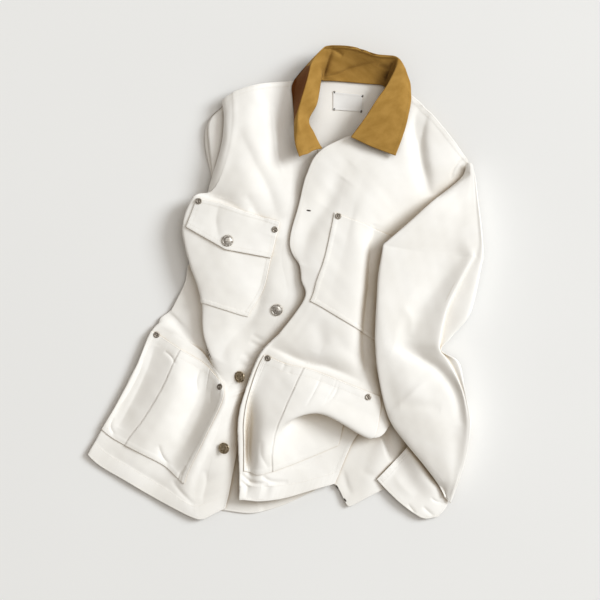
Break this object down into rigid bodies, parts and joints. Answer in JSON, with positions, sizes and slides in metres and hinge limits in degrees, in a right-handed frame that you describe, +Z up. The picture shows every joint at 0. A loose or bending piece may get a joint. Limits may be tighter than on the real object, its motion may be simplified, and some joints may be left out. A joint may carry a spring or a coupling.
{
  "type": "barn jacket",
  "caption": "Barn jacket of heavy off-white cotton, dropped on its back, open at the neck, one sleeve folded under it and the other bent over its front; it rests flat on a surface.",
  "frame": {"origin": "on the surface the jacket lies on, under the middle of its bounding box", "axes": "+Z up from the surface, +Y from the hem towards the collar, +X towards the wearer's left"},
  "size_m": [0.6362, 0.7611, 0.0552],
  "materials": {
    "cloth": "heavy off-white cotton twill, matt, lightly creased",
    "collar_cloth": "tan brushed cotton, matt",
    "label_cloth": "plain woven label, bare",
    "button_metal": "aged nickel tack buttons and rivets"
  },
  "bodies": {
    "root": {"front_right": "cloth", "front_left": "cloth", "back": "cloth", "sleeve_right": "cloth", "sleeve_left": "cloth", "sleeve_left_under": "cloth", "cuff_left": "cloth", "chest_pocket_right": "cloth", "flap_right": "cloth", "chest_pocket_left": "cloth", "lower_pocket_right": "cloth", "lower_pocket_left": "cloth", "collar": "collar_cloth", "label": "label_cloth", "button_flap": "button_metal", "button_chest": "button_metal", "button_waist": "button_metal", "button_hem": "button_metal", "rivet_flap_outer": "button_metal", "rivet_flap_inner": "button_metal", "rivet_chest_left": "button_metal", "rivet_right_outer": "button_metal", "rivet_right_inner": "button_metal", "rivet_left_inner": "button_metal", "rivet_left_outer": "button_metal"}
  },
  "joints": []
}
